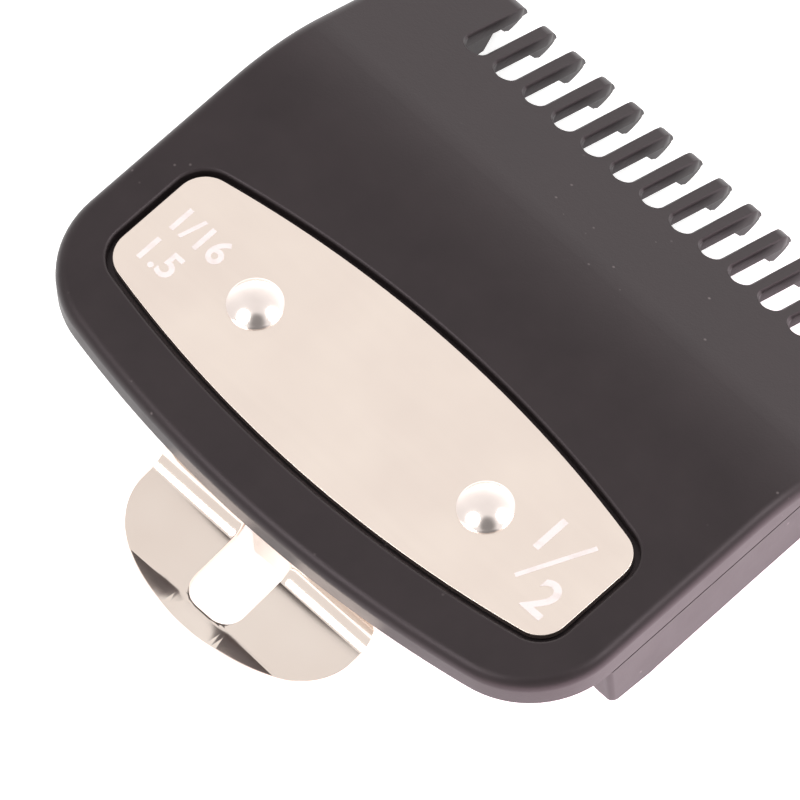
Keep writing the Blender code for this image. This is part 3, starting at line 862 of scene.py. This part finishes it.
def rivetFinish():
    material, shader, place = startFinish("polishedRivet", 1.0)
    cloud = place.noise(600.0, 2.0)
    feed(shader, "Base Color", cloud.over(0.5, 0.3).blendTo(colour(238, 226, 221), colour(249, 238, 233)))
    feed(shader, "Roughness", place.noise(900.0, 2.0) * 0.12 + 0.1)
    emboss(shader, place.noise(1100.0, 1.0), 0.25, 0.05)  # dints of the setting tool
    return material


def printFinish():
    material, shader, place = startFinish("paleInk", 0.0)
    wear = place.noise(1400.0, 3.0).over(0.42, 0.12)
    feed(shader, "Base Color", wear.blendTo(colour(208, 197, 195), colour(217, 207, 206)))
    feed(shader, "Roughness", wear * 0.1 + 0.4)
    return material


def paint(piece, material):
    piece.data.materials.clear()
    piece.data.materials.append(material)


paint(shell, nylonFinish())
paint(facePlate, plateFinish())
clipMetal = clipFinish()
paint(springClip, clipMetal)
rivetMetal = rivetFinish()
ink = printFinish()
for piece in rivets:
    paint(piece, rivetMetal)
for piece in prints:
    paint(piece, ink)
print("finishes made")


# ---- floor, light and camera ----

onlooker = (0.374, -0.305, 0.876)  # direction of the camera
studio = {"glow": 2.7, "top": 0.95, "low": 0.02, "back": 1.25, "shade": 0.72}


def makeFloor():
    backToObjects()
    bpy.ops.object.select_all(action="DESELECT")
    bpy.ops.mesh.primitive_plane_add(size=3.0, location=(0, 0, cadLow.z - 0.00002))
    floor = bpy.context.object
    floor.name = "paleFloor"
    material, shader, place = startFinish("glowingPalePaper")
    tone = place.noise(30.0, 2.0)
    feed(shader, "Base Color", tone.blendTo((0.9, 0.9, 0.9, 1), (0.93, 0.93, 0.93, 1)))
    shader.inputs["Roughness"].default_value = 0.9
    parts = shader.id_data.nodes.new("ShaderNodeSeparateXYZ")
    shader.id_data.links.new(place.socket, parts.inputs[0])
    side = Wire(shader.id_data, parts.outputs["X"]).over(0.022, 0.02)  # painted light: the floor glows brighter on the right (+x), lighting the comb's side wall like a lamp
    # painted light: the floor's emission stands in for a lamp, dim grey on the left and pink-white on the
    # right
    feed(shader, "Emission Color", side.blendTo((0.21, 0.21, 0.21, 1), (1.0, 0.76, 0.86, 1)))
    shader.inputs["Emission Strength"].default_value = studio["glow"]
    paint(floor, material)


def makeSky():  # brighter towards the horizon and behind the teeth, shaded where the onlooker stands
    world = bpy.data.worlds.new("studioSky")
    bpy.context.scene.world = world
    world.use_nodes = True
    tree = world.node_tree
    background = tree.nodes["Background"]
    way = Wire(tree, tree.nodes.new("ShaderNodeTexCoord").outputs["Generated"])
    parts = tree.nodes.new("ShaderNodeSeparateXYZ")
    tree.links.new(way.socket, parts.inputs[0])
    across, up = Wire(tree, parts.outputs["Y"]), Wire(tree, parts.outputs["Z"])
    low = (1.0 - up.sums("MAXIMUM", up, 0.0)) ** 2.0
    level = low * (across.over(0.2, 0.6) * studio["back"] + studio["low"]) + studio["top"]
    facing = way.node("ShaderNodeVectorMath", {"operation": "DOT_PRODUCT"}, {0: way, 1: onlooker}, 1)
    level = level * (1.0 - facing.over(0.94, 0.03) * studio["shade"])
    background.inputs["Color"].default_value = (1.0, 0.985, 0.97, 1)
    tree.links.new(level.socket, background.inputs["Strength"])


lamps = [("left", (-0.157, -0.35, 0.57), 0.36, 1.7), ("right", (0.33, 0.29, 0.52), 0.34, 1.7)]


def makeLamp(name, place, size, power):
    data = bpy.data.lights.new(name, "AREA")
    data.shape = "DISK"
    data.size = size
    data.energy = power
    lamp = bpy.data.objects.new(name, data)
    bpy.context.scene.collection.objects.link(lamp)
    lamp.location = place
    lamp.rotation_euler = (-Vector(place)).to_track_quat("-Z", "Y").to_euler()


camera = {"place": (455.99, -369.66, 1064.98), "turn": (28.7522, 2.71, 45.8468), "lens": 820.0}


def makeCamera():
    data = bpy.data.cameras.new("camera")
    data.lens = camera["lens"]
    data.sensor_width = 36.0
    data.clip_start, data.clip_end = 0.05, 20.0
    eye = bpy.data.objects.new("camera", data)
    bpy.context.scene.collection.objects.link(eye)
    eye.location = at(*camera["place"])
    eye.rotation_euler = [math.radians(a) for a in camera["turn"]]
    bpy.context.scene.camera = eye


makeFloor()
makeSky()
for lamp in lamps:
    makeLamp(*lamp)
makeCamera()
bpy.context.scene.view_settings.view_transform = "Standard"
print("stage set")
